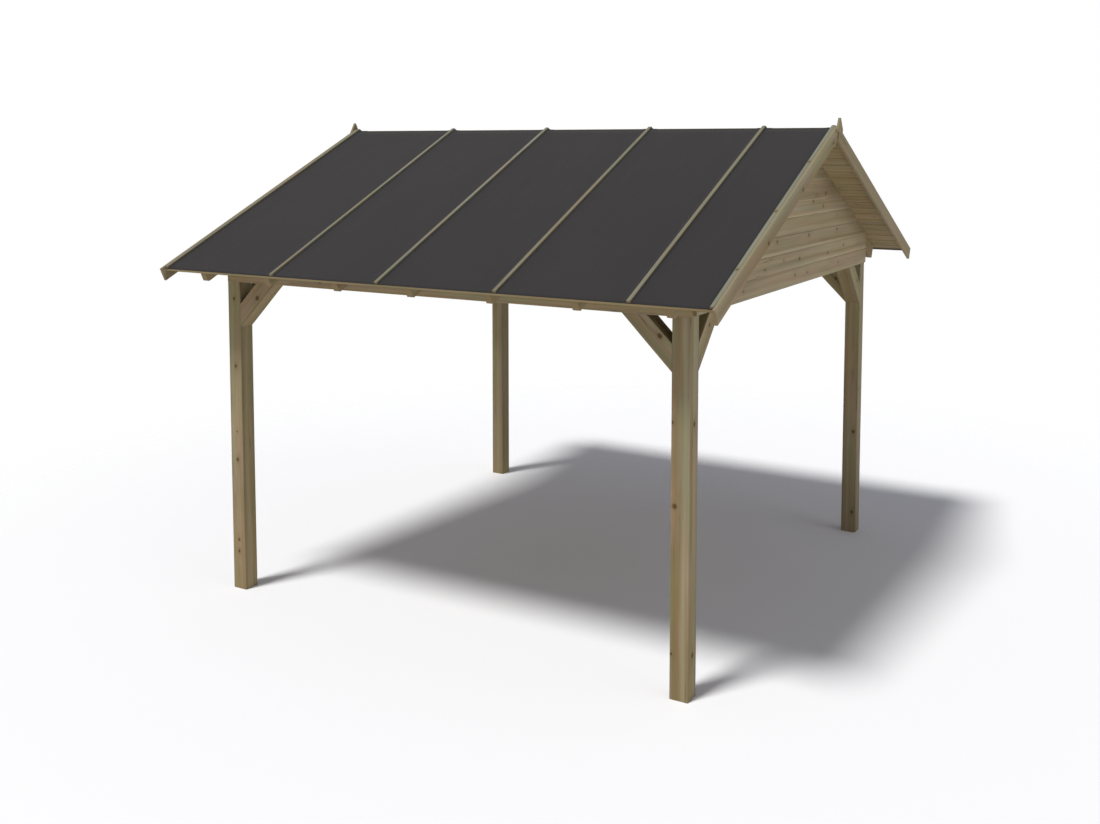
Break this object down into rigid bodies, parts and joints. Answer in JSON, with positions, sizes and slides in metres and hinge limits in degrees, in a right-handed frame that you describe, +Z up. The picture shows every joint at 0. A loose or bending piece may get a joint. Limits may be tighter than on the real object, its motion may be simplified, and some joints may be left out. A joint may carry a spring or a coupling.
{
  "type": "garden pergola",
  "caption": "Open garden pergola in green-treated pine: four square posts with knee braces, boarded pitched roof with dark felt and laths, clad gables and bargeboards.",
  "frame": {"origin": "middle of the plan, at ground level", "axes": "+X along the ridge to the right gable, +Y from the front eave to the back eave, +Z up"},
  "size_m": [4.311, 4.4164, 3.4901],
  "materials": {
    "frame_timber": "planed, green-treated pine",
    "roof_timber": "planed, green-treated pine",
    "roof_boards": "planed tongue and groove pine boards",
    "cladding": "planed tongue and groove pine boards",
    "trim_timber": "planed, green-treated pine",
    "felt": "matt bitumen roofing felt with a fine mineral grain"
  },
  "bodies": {
    "root": {"post_front_left": "frame_timber", "post_front_right": "frame_timber", "post_back_left": "frame_timber", "post_back_right": "frame_timber", "wall_plate_front": "frame_timber", "wall_plate_back": "frame_timber", "tie_beam_left": "frame_timber", "tie_beam_right": "frame_timber", "eave_brace_front_left": "frame_timber", "eave_brace_front_right": "frame_timber", "eave_brace_back_left": "frame_timber", "eave_brace_back_right": "frame_timber", "gable_brace_front_left": "frame_timber", "gable_brace_front_right": "frame_timber", "gable_brace_back_left": "frame_timber", "gable_brace_back_right": "frame_timber", "ridge_board": "roof_timber", "rafter_pair_1": "roof_timber", "rafter_pair_2": "roof_timber", "rafter_pair_3": "roof_timber", "rafter_pair_4": "roof_timber", "rafter_pair_5": "roof_timber", "rafter_pair_6": "roof_timber", "rafter_pair_7": "roof_timber", "roof_boards_front": "roof_boards", "roof_boards_back": "roof_boards", "roof_felt_front": "felt", "roof_felt_back": "felt", "lath_pair_1": "trim_timber", "lath_pair_2": "trim_timber", "lath_pair_3": "trim_timber", "lath_pair_4": "trim_timber", "lath_pair_5": "trim_timber", "lath_pair_6": "trim_timber", "gable_cladding_left": "cladding", "gable_cladding_right": "cladding", "bargeboard_front_left": "trim_timber", "bargeboard_front_right": "trim_timber", "bargeboard_back_left": "trim_timber", "bargeboard_back_right": "trim_timber", "apex_point_left": "trim_timber", "apex_point_right": "trim_timber"}
  },
  "joints": []
}
